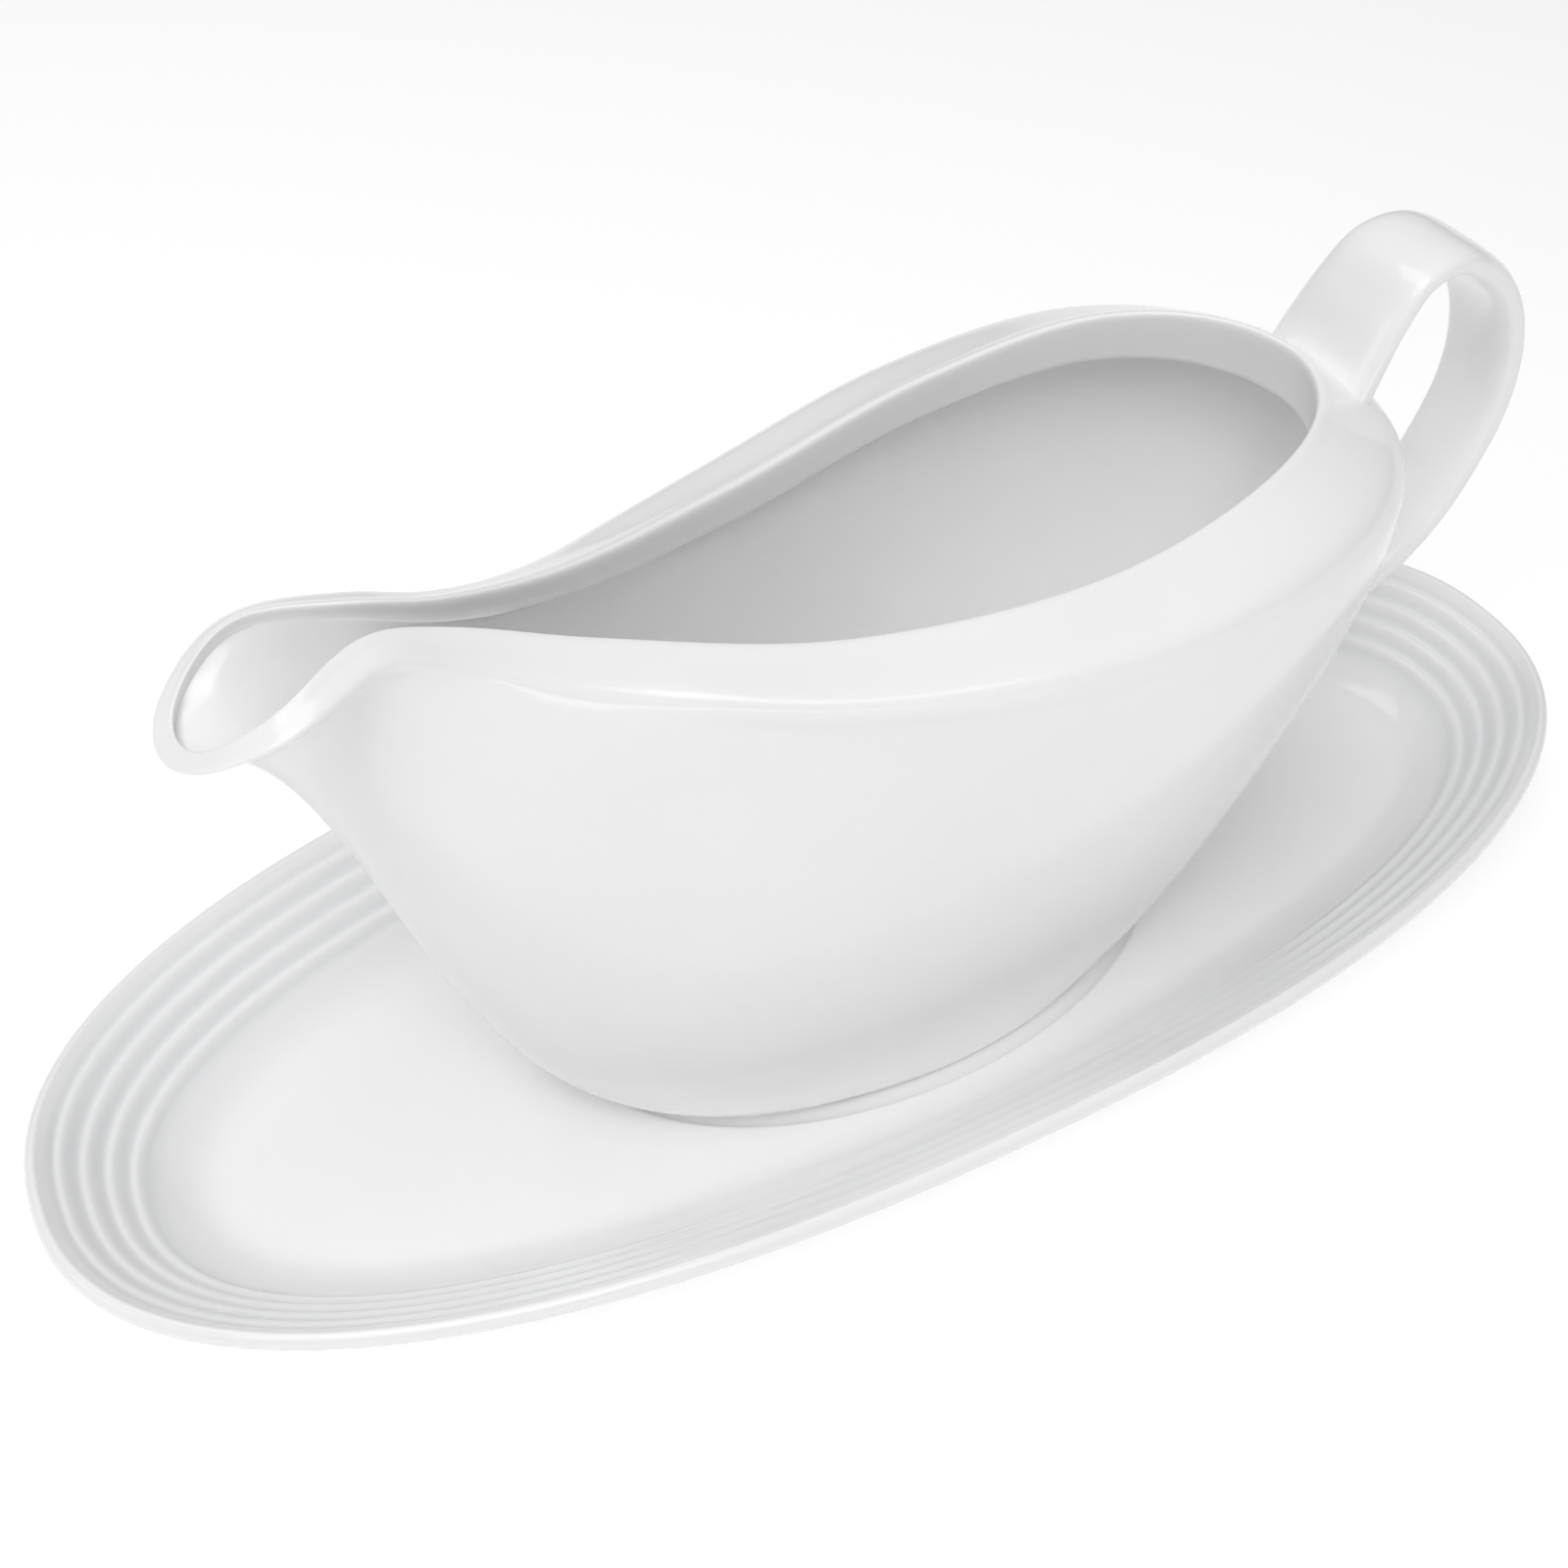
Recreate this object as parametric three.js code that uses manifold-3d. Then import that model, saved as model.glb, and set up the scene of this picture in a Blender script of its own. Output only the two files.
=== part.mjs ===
// Porcelain gravy boat on its long oval saucer.
// Millimetres, +Z up. X runs along the boat: spout towards -X, handle towards +X.
// Origin: centre of the saucer's foot, on the table.
// The boat's body and its handle are formed apart and luted together; the boat stands loose
// in the shallow seat of the saucer.

import * as THREE from 'three';
import { mergeVertices } from 'three/addons/utils/BufferGeometryUtils.js';
import Module from 'manifold-3d';

// ---------------------------------------------------------------- driving dimensions

// Saucer: a superellipse in plan, lofted through one radial profile
const SAUCER_HALF_LENGTH = 115;
const SAUCER_HALF_WIDTH = 48;
const SAUCER_POWER = 2.28;
const RIM_HEIGHT = 24.0;
const RIM_ROUND = 1.4;
const WALL_SLOPE = 1.05;
const WALL_END = 12.4;
const SWEEP_WIDTH = 7.6;
const SWEEP_POWER = 1.9;
const RIB_COUNT = 4;
const RIB_PITCH = 2.4;
const RIB_FIRST = 4.1;
const RIB_DEPTH = 0.28;
const WELL_HEIGHT = 7.7;
const SEAT_HEIGHT = 7.0;
const SEAT_HALF_LENGTH = 46.0;
const SEAT_HALF_WIDTH = 27.8;
const SAUCER_WALL = 4.2;
const FOOT_RING_INSET = 17.0;
const FOOT_RING_WIDTH = 3.0;
const FOOT_RING_HEIGHT = 2.5;

// Boat body: foot oval, mouth edge and the belly between them
const GAP = 0.3;
const BOAT_Z = SEAT_HEIGHT + GAP;
const FOOT_CENTRE_X = 0.3;
const FOOT_HALF_LENGTH = 43.5;
const FOOT_HALF_WIDTH = 25.4;
const FOOT_BAND = 3.2;
const FOOT_RECESS = 1.6;
const FLOOR_THICKNESS = 4.5;
const LIP_ROUND = 1.5;

// One half of the mouth's inner edge, from the spout's tip to the back (y is mirrored)
const MOUTH = [
  new THREE.Vector3(-80.6, 0, 79.3),
  new THREE.Vector3(-79.0, 4.6, 80.4),
  new THREE.Vector3(-71.8, 8.0, 84.7),
  new THREE.Vector3(-60.4, 2.9, 86.7),
  new THREE.Vector3(-52.0, 2.5, 84.0),
  new THREE.Vector3(-37.0, 6.3, 79.2),
  new THREE.Vector3(-12.0, 15.0, 75.5),
  new THREE.Vector3(18.0, 21.2, 77.5),
  new THREE.Vector3(41.5, 18.3, 81.2),
  new THREE.Vector3(54.0, 10.3, 81.8),
  new THREE.Vector3(58.5, 0, 81.6),
];

// Handle: a strap swept along a curve in the XZ plane
const STRAP_PATH = [
  new THREE.Vector3(61.5, 0, 73.0),
  new THREE.Vector3(65.0, 0, 81.5),
  new THREE.Vector3(67.6, 0, 86.6),
  new THREE.Vector3(71.0, 0, 90.8),
  new THREE.Vector3(76.6, 0, 91.7),
  new THREE.Vector3(82.9, 0, 88.4),
  new THREE.Vector3(88.7, 0, 82.0),
  new THREE.Vector3(92.1, 0, 74.0),
  new THREE.Vector3(92.9, 0, 65.5),
  new THREE.Vector3(90.9, 0, 57.0),
  new THREE.Vector3(86.8, 0, 48.5),
  new THREE.Vector3(80.3, 0, 42.0),
  new THREE.Vector3(71.9, 0, 37.4),
  new THREE.Vector3(60.0, 0, 33.6),
];
const STRAP_HALF_THICKNESS = [[0, 2.1], [0.15, 1.8], [0.3, 1.9], [0.6, 2.2], [1, 2.4]];
const STRAP_HALF_WIDTH = [[0, 9.6], [0.12, 8.0], [0.25, 6.7], [0.5, 5.9], [1, 6.2]];

// Facets
const AROUND = 72;
const BELLY_RINGS = 11;
const INNER_RINGS = 9;
const STRAP_STEPS = 34;
const STRAP_SIDES = 14;

// ---------------------------------------------------------------- small helpers

const { cos, sin, sign, abs, pow, PI, min, max } = Math;

function smooth(t) {
  const c = min(1, max(0, t));
  return c * c * (3 - 2 * c);
}

// A value that runs smoothly through stations [position, value]
function along(stations, s) {
  let i = 0;
  while (i < stations.length - 2 && s > stations[i + 1][0]) i += 1;
  const [a, va] = stations[i];
  const [b, vb] = stations[i + 1];
  return va + (vb - va) * smooth((s - a) / (b - a));
}

function bezier(p0, p1, p2, p3, t) {
  return new THREE.CubicBezierCurve3(p0, p1, p2, p3).getPoint(t);
}

// A closed skin from a list of rings of equal length, with a point closing each end
function skin(startPoint, rings, endPoint) {
  const count = rings[0].length;
  const positions = [];
  const index = [];
  const push = (p) => positions.push(p.x, p.y, p.z);
  push(startPoint);
  rings.forEach((ring) => ring.forEach(push));
  push(endPoint);
  const last = positions.length / 3 - 1;
  for (let k = 0; k < count; k += 1) {
    const n = (k + 1) % count;
    index.push(0, 1 + n, 1 + k);
    for (let r = 0; r < rings.length - 1; r += 1) {
      const a = 1 + r * count + k;
      const b = 1 + r * count + n;
      const c = a + count;
      const d = b + count;
      index.push(a, b, c, b, d, c);
    }
    const base = 1 + (rings.length - 1) * count;
    index.push(base + k, base + n, last);
  }
  const geometry = new THREE.BufferGeometry();
  geometry.setAttribute('position', new THREE.Float32BufferAttribute(positions, 3));
  geometry.setIndex(index);
  return geometry;
}

function glaze(color) {
  return new THREE.MeshStandardMaterial({ color, roughness: 0.12, metalness: 0 });
}

// ---------------------------------------------------------------- saucer

function plan(halfLength, halfWidth, z, power = SAUCER_POWER) {
  const ring = [];
  for (let k = 0; k < AROUND; k += 1) {
    const a = (2 * PI * k) / AROUND;
    const c = cos(a);
    const s = sin(a);
    const x = halfLength * sign(c) * pow(abs(c), 2 / power);
    const y = halfWidth * sign(s) * pow(abs(s), 2 / power);
    ring.push(new THREE.Vector3(x, y, z));
  }
  return ring;
}

// Height of the saucer's upper face at a distance in from the rim's edge: a straight wall,
// then a sweep that runs out into the flat well
function upperFace(inset) {
  const wallFoot = RIM_HEIGHT - WALL_SLOPE * (WALL_END - RIM_ROUND);
  if (inset > WALL_END) {
    const left = max(0, 1 - (inset - WALL_END) / SWEEP_WIDTH);
    return WELL_HEIGHT + (wallFoot - WELL_HEIGHT) * pow(left, SWEEP_POWER);
  }
  return RIM_HEIGHT - WALL_SLOPE * (inset - RIM_ROUND);
}

// A ring of the wall with its rib on it. The ribs are at full depth round both ends of the
// saucer and nearly die away along its two long sides.
function ribbedRing(inset) {
  const ripple = RIB_DEPTH * cos((2 * PI * (inset - RIB_FIRST)) / RIB_PITCH);
  return saucerRing(inset, upperFace(inset)).map((p) => {
    const share = 0.1 + 0.9 * smooth(min(1, max(0, (abs(p.x) - 36) / 26)));
    return new THREE.Vector3(p.x, p.y, p.z + ripple * share);
  });
}

function saucerRing(inset, z) {
  return plan(SAUCER_HALF_LENGTH - inset, SAUCER_HALF_WIDTH - inset, z);
}

function makeSaucer() {
  const rings = [];
  const footOuter = FOOT_RING_INSET;
  const footInner = footOuter + FOOT_RING_WIDTH;
  // underside, from the middle out: foot ring, then up the back of the wall
  rings.push(saucerRing(footInner + 1.2, FOOT_RING_HEIGHT));
  rings.push(saucerRing(footInner, 0));
  rings.push(saucerRing(footOuter, 0));
  rings.push(saucerRing(footOuter - 1.0, FOOT_RING_HEIGHT));
  rings.push(saucerRing(12.5, RIM_HEIGHT - WALL_SLOPE * 11.1 - SAUCER_WALL * 1.2));
  rings.push(saucerRing(7.0, RIM_HEIGHT - WALL_SLOPE * 5.6 - SAUCER_WALL * 1.25));
  rings.push(saucerRing(1.6, RIM_HEIGHT - SAUCER_WALL - 0.4));
  rings.push(saucerRing(0.3, RIM_HEIGHT - 2.2));
  // rim, then down the ribbed wall, crest and trough by turns
  rings.push(saucerRing(0, RIM_HEIGHT - 1.2));
  rings.push(saucerRing(0.5, RIM_HEIGHT - 0.3));
  rings.push(saucerRing(RIM_ROUND, RIM_HEIGHT));
  for (let i = 0; i < 2 * RIB_COUNT; i += 1) {
    rings.push(ribbedRing(RIB_FIRST + ((i - 1) * RIB_PITCH) / 2));
  }
  [0.05, 0.3, 0.6, 1].forEach((part) => {
    const at = WALL_END + part * SWEEP_WIDTH;
    rings.push(saucerRing(at, upperFace(at)));
  });
  // shallow seat that takes the boat's foot
  rings.push(plan(SEAT_HALF_LENGTH, SEAT_HALF_WIDTH, WELL_HEIGHT - 0.1, 2));
  rings.push(plan(SEAT_HALF_LENGTH - 1.2, SEAT_HALF_WIDTH - 1.2, SEAT_HEIGHT, 2));
  const under = new THREE.Vector3(0, 0, FOOT_RING_HEIGHT);
  const seat = new THREE.Vector3(0, 0, SEAT_HEIGHT);
  return skin(under, rings, seat);
}

// ---------------------------------------------------------------- boat body

// The mouth's edge as AROUND points, with each point's outward direction and its share of
// the way from the spout's tip (0) to the back (1)
function mouthEdge() {
  const half = MOUTH.map((p) => p.clone());
  const other = MOUTH.slice(1, -1).reverse().map((p) => new THREE.Vector3(p.x, -p.y, p.z));
  const curve = new THREE.CatmullRomCurve3(half.concat(other), true, 'centripetal');
  curve.arcLengthDivisions = 600;
  const points = [];
  for (let k = 0; k < AROUND; k += 1) {
    // points stand closer together round the tight bends of the spout
    const v = k / AROUND;
    const u = v - (0.45 * sin(2 * PI * v)) / (2 * PI);
    const p = curve.getPointAt(u);
    const t = curve.getTangentAt(u);
    const out = new THREE.Vector3(-t.y, t.x, 0).normalize();
    const share = u <= 0.5 ? 2 * u : 2 - 2 * u;
    points.push({ p, out, share, side: u <= 0.5 ? 1 : -1 });
  }
  return points.reverse();
}

const COLLAR_WIDTH = [[0, 2.1], [0.06, 2.1], [0.14, 3.1], [0.22, 4.0], [0.5, 7.9], [0.78, 10.4], [1, 11.7]];
const COLLAR_DROP = [[0, 0.6], [0.08, 0.8], [0.22, 1.9], [0.5, 2.4], [0.78, 4.5], [1, 8.4]];
const LIP_FACE = [[0, 0.9], [0.1, 1.1], [0.25, 3.0], [0.5, 4.9], [0.75, 5.6], [1, 7.2]];

// Belly handles: how far the profile leaves the foot and meets the ridge, at the
// front (under the spout), at the sides and at the back; innerDown serves the inner wall
const BELLY = {
  front: { out: 23.6, up: 7.8, shift: 19.9, widen: 1.06, down: 1.2, innerDown: -1.6 },
  side: { out: 1.4, up: 2.2, shift: 0, widen: 0.97, down: 27.5, innerDown: 22.5 },
  back: { out: 6.2, up: 2.3, shift: 2.5, widen: 1.1, down: 29.5, innerDown: 24.5 },
};

function blend(key, phi) {
  const c = cos(phi);
  const back = pow(max(0, c), 2.2);
  const front = pow(max(0, -c), 2.2);
  return back * BELLY.back[key] + front * BELLY.front[key] + (1 - back - front) * BELLY.side[key];
}

// A ring of points evened out to a plain egg: its lowest waves round phi, with the front and
// back points kept
function hull(frames, ring) {
  const order = frames.map((f, i) => i).sort((a, b) => frames[a].phi - frames[b].phi);
  const at = order.map((i) => frames[i].phi);
  const sample = (phi, key) => {
    let j = at.findIndex((v) => v > phi);
    let lowPhi = j > 0 ? at[j - 1] : at[at.length - 1] - (j === 0 ? 2 * PI : 0);
    let highPhi = j >= 0 ? at[j] : at[0] + 2 * PI;
    const low = ring[order[j > 0 ? j - 1 : order.length - 1]][key];
    const high = ring[order[j >= 0 ? j : 0]][key];
    return low + ((high - low) * (phi - lowPhi)) / (highPhi - lowPhi);
  };
  const STEPS = 360;
  const waves = { x: [cos, 0], y: [sin, 1], z: [cos, 0] };
  const egg = frames.map(() => new THREE.Vector3());
  Object.keys(waves).forEach((key) => {
    const [wave, first] = waves[key];
    for (let n = first; n <= 3; n += 1) {
      let sum = 0;
      for (let i = 0; i < STEPS; i += 1) {
        const phi = -PI + (2 * PI * i) / STEPS;
        sum += sample(phi, key) * wave(n * phi);
      }
      const size = (sum / STEPS) * (n === 0 ? 1 : 2);
      egg.forEach((q, i) => { q[key] += size * wave(n * frames[i].phi); });
    }
  });
  [-1, 1].forEach((end) => {
    const tip = frames.reduce((best, f, i) => (end * cos(f.phi) > end * cos(frames[best].phi) ? i : best), 0);
    const gap = ring[tip].clone().sub(egg[tip]);
    egg.forEach((q, i) => {
      const near = pow(max(0, end * cos(frames[i].phi)), 6);
      q.x += near * gap.x;
      q.z += near * gap.z;
    });
  });
  return egg;
}

function footPoint(phi, inset, z) {
  const x = FOOT_CENTRE_X + (FOOT_HALF_LENGTH - inset) * cos(phi);
  const y = (FOOT_HALF_WIDTH - inset) * sin(phi);
  return new THREE.Vector3(x, y, z);
}

function footOut(phi) {
  return new THREE.Vector3(cos(phi) / FOOT_HALF_LENGTH, sin(phi) / FOOT_HALF_WIDTH, 0).normalize();
}

function makeBoatSkins() {
  const edge = mouthEdge();
  const frames = edge.map(({ p, out, share, side }) => {
    const phi = PI * (1 - pow(share, 1.88)) * side;
    const width = along(COLLAR_WIDTH, share);
    const drop = along(COLLAR_DROP, share);
    const face = along(LIP_FACE, share);
    const ridge = p.clone().addScaledVector(out, width);
    ridge.z -= drop;
    const shelf = max(0, width - 4.4);
    const under = p.clone().addScaledVector(out, shelf);
    under.z -= face + 0.45 * shelf;
    return { p, out, share, phi, width, drop, face, ridge, under, shelf };
  });

  const ringOf = (fn) => frames.map((f, i) => {
    const q = fn(f, i);
    q.z += BOAT_Z;
    return q;
  });

  // outside: belly from the foot up to the ridge, the collar, the rounded lip
  const outer = [];
  outer.push(ringOf((f) => footPoint(f.phi, FOOT_BAND + 1.2, FOOT_RECESS)));
  outer.push(ringOf((f) => footPoint(f.phi, FOOT_BAND, 0)));
  outer.push(ringOf((f) => footPoint(f.phi, 0.7, 0)));
  const start = frames.map((f) => footPoint(f.phi, 0, 0.7));
  const leave = hull(frames, frames.map((f, i) => {
    const q = start[i].clone().addScaledVector(footOut(f.phi), blend('out', f.phi));
    q.z += blend('up', f.phi);
    return q;
  }));
  const meet = hull(frames, frames.map((f) => {
    const q = f.ridge.clone();
    q.x += blend('shift', f.phi);
    q.y *= blend('widen', f.phi);
    q.z -= blend('down', f.phi);
    return q;
  }));
  for (let r = 0; r < BELLY_RINGS; r += 1) {
    const t = r / BELLY_RINGS;
    outer.push(ringOf((f, i) => bezier(start[i], leave[i], meet[i], f.ridge, t)));
  }
  outer.push(ringOf((f) => f.ridge.clone()));
  outer.push(ringOf((f) => {
    const q = f.p.clone().addScaledVector(f.out, f.width * 0.62);
    q.z -= f.drop * 0.42 - 0.35;
    return q;
  }));
  outer.push(ringOf((f) => {
    const q = f.p.clone().addScaledVector(f.out, LIP_ROUND);
    q.z += 0.3;
    return q;
  }));
  outer.push(ringOf((f) => {
    const q = f.p.clone().addScaledVector(f.out, LIP_ROUND * 0.35);
    q.z += 0.4;
    return q;
  }));

  // inside: lip face, the undercut below it, the wall down to the floor
  const inner = [];
  inner.push(ringOf((f) => {
    const q = f.p.clone();
    q.z -= min(LIP_ROUND * 0.5, f.face * 0.5);
    return q;
  }));
  inner.push(ringOf((f) => {
    const q = f.p.clone();
    q.z -= f.face;
    return q;
  }));
  const wall = 4.4;
  const startIn = frames.map((f) => footPoint(f.phi, wall + 2.5, FOOT_RECESS + FLOOR_THICKNESS));
  const leaveIn = hull(frames, frames.map((f, i) => {
    const q = startIn[i].clone().addScaledVector(footOut(f.phi), blend('out', f.phi) + 1);
    q.z += blend('up', f.phi) + 1;
    return q;
  }));
  const meetIn = hull(frames, frames.map((f) => {
    const q = f.under.clone();
    q.x += blend('shift', f.phi);
    q.y *= blend('widen', f.phi);
    q.z -= blend('innerDown', f.phi);
    return q;
  }));
  for (let r = 0; r <= INNER_RINGS; r += 1) {
    const t = 1 - r / INNER_RINGS;
    inner.push(ringOf((f, i) => bezier(startIn[i], leaveIn[i], meetIn[i], f.under, t)));
  }
  const below = new THREE.Vector3(FOOT_CENTRE_X, 0, BOAT_Z + FOOT_RECESS);
  const floor = new THREE.Vector3(FOOT_CENTRE_X, 0, BOAT_Z + FOOT_RECESS + FLOOR_THICKNESS);
  return { whole: [below, outer.concat(inner), floor], outer, below };
}

// ---------------------------------------------------------------- handle

function makeStrap() {
  const curve = new THREE.CatmullRomCurve3(STRAP_PATH, false, 'centripetal');
  curve.arcLengthDivisions = 400;
  const rings = [];
  for (let i = 0; i <= STRAP_STEPS; i += 1) {
    const u = i / STRAP_STEPS;
    const p = curve.getPointAt(u);
    const t = curve.getTangentAt(u);
    const half = along(STRAP_HALF_WIDTH, u);
    const thick = along(STRAP_HALF_THICKNESS, u);
    const ring = [];
    for (let k = 0; k < STRAP_SIDES; k += 1) {
      const a = (2 * PI * k) / STRAP_SIDES;
      const across = half * sign(cos(a)) * pow(abs(cos(a)), 0.55);
      const lift = thick * sign(sin(a)) * pow(abs(sin(a)), 0.75);
      ring.push(new THREE.Vector3(p.x - t.z * lift, across, p.z + BOAT_Z + t.x * lift));
    }
    rings.push(ring);
  }
  const centre = (ring) => {
    const c = new THREE.Vector3();
    ring.forEach((p) => c.add(p));
    return c.divideScalar(ring.length);
  };
  return skin(centre(rings[0]), rings, centre(rings[rings.length - 1]));
}

// ---------------------------------------------------------------- solids

const wasm = await Module();
wasm.setup();

function toSolid(geometry) {
  const bare = geometry.clone();
  bare.deleteAttribute('normal');
  bare.deleteAttribute('uv');
  const merged = mergeVertices(bare, 1e-4);
  const mesh = new wasm.Mesh({
    numProp: 3,
    vertProperties: Float32Array.from(merged.attributes.position.array),
    triVerts: Uint32Array.from(merged.index.array),
  });
  return new wasm.Manifold(mesh);
}

function toGeometry(solid) {
  const mesh = solid.getMesh();
  const geometry = new THREE.BufferGeometry();
  geometry.setAttribute('position', new THREE.BufferAttribute(Float32Array.from(mesh.vertProperties), 3));
  geometry.setIndex(new THREE.BufferAttribute(Uint32Array.from(mesh.triVerts), 1));
  return geometry;
}

const { whole, outer, below } = makeBoatSkins();
const bodyGeometry = skin(whole[0], whole[1], whole[2]);
const saucerGeometry = makeSaucer();

// The boat's outside as one filled shape, grown by the gap, trims the strap's two ends
const mouthMiddle = new THREE.Vector3(10, 0, BOAT_Z + 74);
const filled = skin(below, outer, mouthMiddle);
filled.computeVertexNormals();
const spots = filled.attributes.position;
const normals = filled.attributes.normal;
for (let i = 0; i < spots.count; i += 1) {
  const x = spots.getX(i) + GAP * normals.getX(i);
  const y = spots.getY(i) + GAP * normals.getY(i);
  const z = spots.getZ(i) + GAP * normals.getZ(i);
  spots.setXYZ(i, x, y, z);
}
const strap = toSolid(makeStrap());
const strapGeometry = toGeometry(strap.subtract(toSolid(filled)));

const assembly = new THREE.Group();

function addPiece(name, geometry, color) {
  geometry.computeVertexNormals();
  const mesh = new THREE.Mesh(geometry, glaze(color));
  mesh.name = name;
  assembly.add(mesh);
}

addPiece('saucer', saucerGeometry, 0xf2f2f1);
addPiece('boat_body', bodyGeometry, 0xf3f3f2);
addPiece('boat_handle', strapGeometry, 0xf3f3f2);

export default assembly;
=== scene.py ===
"""Looks for a porcelain gravy boat that stands on its long oval saucer.

Lengths below are in millimetres in the CAD's frame and are scaled to metres when a mesh is made.
"""

import math

import bpy
import numpy as np
from mathutils import Matrix, Vector
from mathutils.bvhtree import BVHTree


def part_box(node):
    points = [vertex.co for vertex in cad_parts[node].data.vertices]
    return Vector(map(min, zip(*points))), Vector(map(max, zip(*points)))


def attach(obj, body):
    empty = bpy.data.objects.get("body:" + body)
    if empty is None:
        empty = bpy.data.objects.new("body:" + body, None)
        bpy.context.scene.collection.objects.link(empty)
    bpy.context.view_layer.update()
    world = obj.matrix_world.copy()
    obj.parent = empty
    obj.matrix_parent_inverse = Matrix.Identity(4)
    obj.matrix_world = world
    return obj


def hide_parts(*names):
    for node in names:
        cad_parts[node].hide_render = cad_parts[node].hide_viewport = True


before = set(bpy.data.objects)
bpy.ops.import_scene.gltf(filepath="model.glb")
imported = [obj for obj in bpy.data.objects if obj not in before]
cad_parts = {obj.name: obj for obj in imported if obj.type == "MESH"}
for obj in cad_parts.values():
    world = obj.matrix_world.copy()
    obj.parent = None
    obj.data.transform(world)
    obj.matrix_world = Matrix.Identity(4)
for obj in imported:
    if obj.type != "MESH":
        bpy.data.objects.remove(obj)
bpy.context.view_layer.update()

MM = 0.001
pi = math.pi

# ------------------------------------------------------------------ dimensions

saucer_lo, saucer_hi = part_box("saucer")
TABLE_Z = saucer_lo.z / MM

# Saucer: half axes and power of its oval plan, then its section by inset from the rim
A = saucer_hi.x / MM
B = saucer_hi.y / MM
PLAN_POWER = 2.28
RIM_Z = saucer_hi.z / MM
RIM_ROUND = 1.4
WALL_SLOPE = 1.05
WALL_END = 12.4
SWEEP = 7.6
SWEEP_POWER = 1.9
RIB_PITCH = 2.4
RIB_FIRST = 4.1
RIB_DEPTH = 0.30
RIB_LEAST = 0.10            # share of the depth left on the long sides
RIB_FADE = (36, 26)         # where along x the ribs begin to deepen, and over what length
RIB_START = (2.2, 1.2)      # inset at which the first rib grows from the rim, and how fast
UNDERSIDE_Z = 2.6
WELL_Z = 7.7
SEAT_Z = 7.0
SEAT_A, SEAT_B = 46.0, 27.8
SEAT_EDGE = (0.35, 1.3)     # how far the seat's edge starts outside its oval, and its width

# Underside of the saucer as (inset, height): its middle, the inside of the foot ring, the
# bare ring itself, its outside, and the back of the wall
SAUCER_MIDDLE = (60, 14)
RING_INSIDE = [(24, 2.5), (21.8, 2.4), (21.2, 2.0), (20.6, 0.9), (20.2, 0.25)]
RING_BARE = [(19.7, 0.0), (18.5, 0.0), (17.4, 0.0)]
RING_OUTSIDE = [(16.9, 0.25), (16.6, 0.9), (16.3, 1.9), (15.9, 2.9)]
WALL_BACK = [
    (15.4, 4.0), (14.2, 6.3), (12.5, 8.9), (10.2, 11.9), (7.6, 14.7), (5.0, 17.2),
    (2.9, 19.2), (1.6, 20.6), (0.8, 21.5), (0.25, 22.2),
]
WALL_BACK_RIM = 24          # rim height that the heights of WALL_BACK are given for

# Boat: its foot, an oval that stands in the seat
BOAT_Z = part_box("boat_body")[0].z / MM
FOOT_X = 0.3
FOOT_A, FOOT_B = 43.5, 25.4
FOOT_TOP = 0.9              # height of the foot's edge, where the belly starts
RECESS = [(20, 1.5), (9, 1.5), (5.4, 1.5), (4.7, 1.3), (4.2, 0.7), (3.8, 0.15)]
FOOT_BARE = [(3.4, 0.0), (2.0, 0.0), (0.75, 0.0)]
FOOT_EDGE = [(0.4, 0.06), (0.14, 0.25), (0.02, 0.55)]
FLOOR_INSET, FLOOR_Z = 6.9, 6.1

# Inner edge of the mouth above the boat's foot, one side of it from the spout to the back
MOUTH = [
    (-80.6, 0, 79.3), (-79.0, 4.6, 80.4), (-71.8, 8.0, 84.7), (-60.4, 2.9, 86.7),
    (-52.0, 2.5, 84.0), (-37.0, 6.3, 79.2), (-12.0, 15.0, 75.5), (18.0, 21.2, 77.5),
    (41.5, 18.3, 81.2), (54.0, 10.3, 81.8), (58.5, 0, 81.6),
]
# Tables by share of the way from the spout's tip (0) to the back (1)
COLLAR_WIDTH = [
    (0, 1.9), (0.05, 1.9), (0.12, 2.9), (0.22, 3.8), (0.5, 7.5), (0.78, 9.9), (1, 11.6),
]
COLLAR_DROP = [(0, 0.6), (0.08, 0.8), (0.22, 2.0), (0.5, 2.6), (0.78, 4.8), (1, 8.5)]
LIP_FACE = [(0, 0.9), (0.1, 1.1), (0.25, 3.0), (0.5, 4.9), (0.75, 5.6), (1, 7.2)]
SWELL = [(0, 0.2), (0.2, 0.3), (0.4, 0.8), (0.7, 1.0), (1, 0.3)]
# How the belly leaves the foot (out, up) and meets the ridge (shift, widen, down), and the
# same for the inner wall (inner), at the front, the sides and the back
BELLY = {
    "front": dict(out=23.6, up=7.8, shift=19.9, widen=1.06, down=1.2, inner=-1.6),
    "side": dict(out=1.4, up=2.2, shift=0, widen=0.97, down=27.5, inner=22.5),
    "back": dict(out=6.2, up=2.3, shift=2.5, widen=1.1, down=29.5, inner=24.5),
}
BELLY_REACH = 2.2           # how sharply the front and back values give way to the sides'

# Handle: the strap's middle line (x, z above the boat's foot), half width, half thickness
STRAP = [
    (61.5, 73.0), (65.0, 81.5), (67.6, 86.6), (71.0, 90.8), (76.6, 91.7), (82.9, 88.4),
    (88.7, 82.0), (92.1, 74.0), (92.9, 65.5), (90.9, 57.0), (86.8, 48.5), (80.3, 42.0),
    (71.9, 37.4), (60.0, 33.6),
]
STRAP_HALF = [(0, 9.6), (0.12, 8.0), (0.25, 6.7), (0.5, 5.9), (0.85, 6.1), (1, 6.2)]
STRAP_THICK = [(0, 2.1), (0.15, 1.8), (0.3, 1.9), (0.6, 2.2), (1, 2.4)]

# ------------------------------------------------------------------ small helpers


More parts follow.
